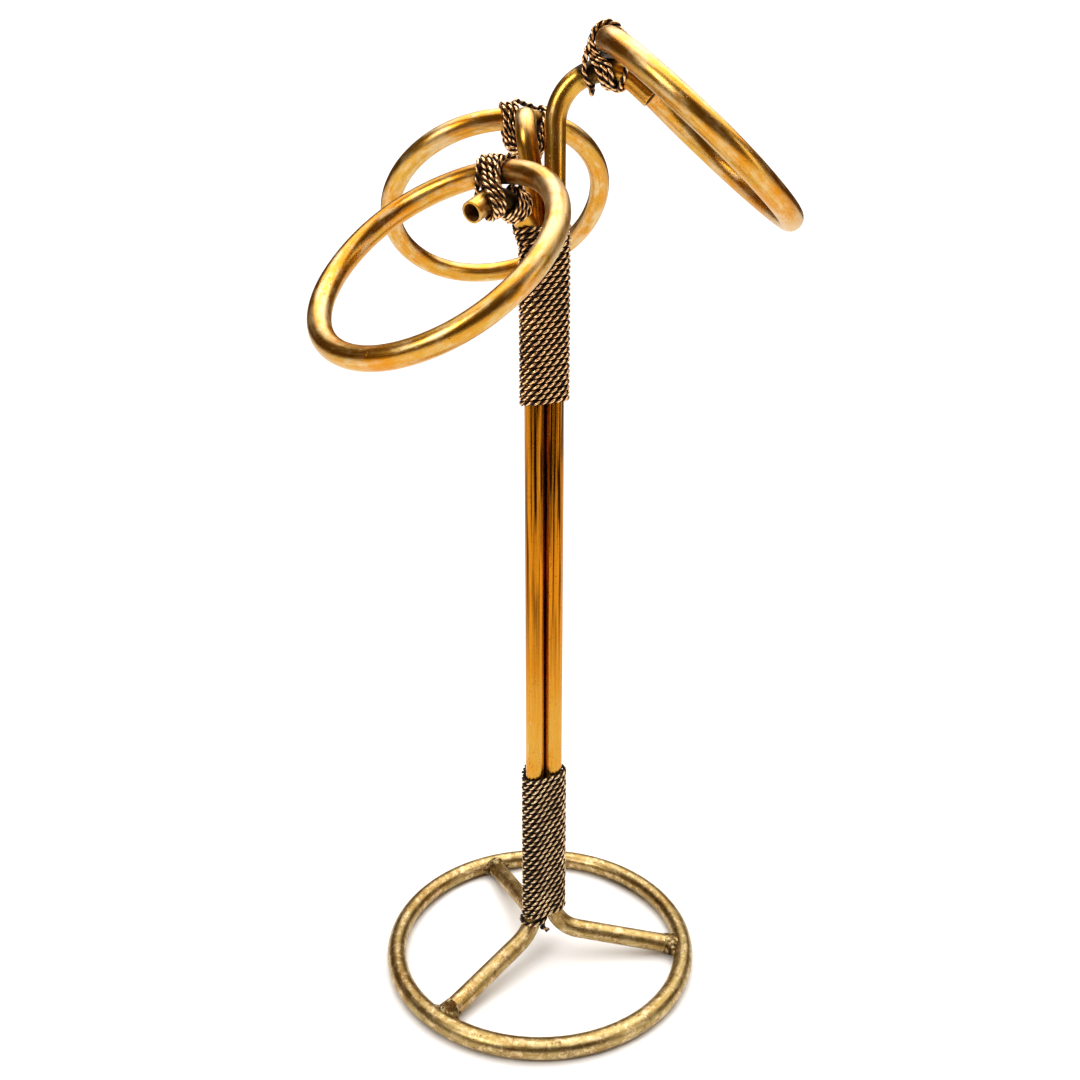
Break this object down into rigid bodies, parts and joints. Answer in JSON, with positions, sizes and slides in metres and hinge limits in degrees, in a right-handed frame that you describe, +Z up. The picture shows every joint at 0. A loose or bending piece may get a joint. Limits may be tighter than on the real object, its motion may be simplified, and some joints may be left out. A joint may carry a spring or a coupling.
{
  "type": "three-ring stand",
  "caption": "Free-standing brass stand: three tubes bound with twisted wire rise from a ring base, and each hooked arm carries a lashed ring.",
  "frame": {"origin": "centre of the bottom of the whole stand's box, on the surface it stands on", "axes": "+Z up along the stem; the camera side of the stand is -Y, and the highest arm points to +X"},
  "size_m": [0.1998, 0.2199, 0.4379],
  "materials": {
    "ring_brass": "aged, softly polished",
    "tube_brass": "aged, amber",
    "base_brass": "aged, pitted and rubbed",
    "braze": "rough braze",
    "twisted_wire": "darkened, rubbed bright on its crowns"
  },
  "bodies": {
    "stand": {"base_ring": "base_brass", "lower_binding": "twisted_wire", "upper_binding": "twisted_wire", "binding_last_turn": "twisted_wire", "tube_low": "tube_brass", "braze_low": "braze", "lashing_low": "twisted_wire", "tube_middle": "tube_brass", "braze_middle": "braze", "lashing_middle": "twisted_wire", "tube_high": "tube_brass", "braze_high": "braze", "lashing_high": "twisted_wire"},
    "low_ring": {"ring_low": "ring_brass"},
    "middle_ring": {"ring_middle": "ring_brass"},
    "high_ring": {"ring_high": "ring_brass"}
  },
  "joints": [
    {"name": "low_ring_tilt", "type": "hinge", "parent": "stand", "child": "low_ring", "pos_m": [-0.02504, -0.03087, 0.3805], "axis": [0.7852, -0.6191, 0.0116], "range_deg": [-15, 20]},
    {"name": "middle_ring_tilt", "type": "hinge", "parent": "stand", "child": "middle_ring", "pos_m": [-0.01417, 0.02732, 0.40728], "axis": [-0.9362, -0.3469, 0.056], "range_deg": [-15, 20]},
    {"name": "high_ring_tilt", "type": "hinge", "parent": "stand", "child": "high_ring", "pos_m": [0.01913, -0.01524, 0.43066], "axis": [0.1736, 0.9848, 0], "range_deg": [-15, 20]}
  ]
}
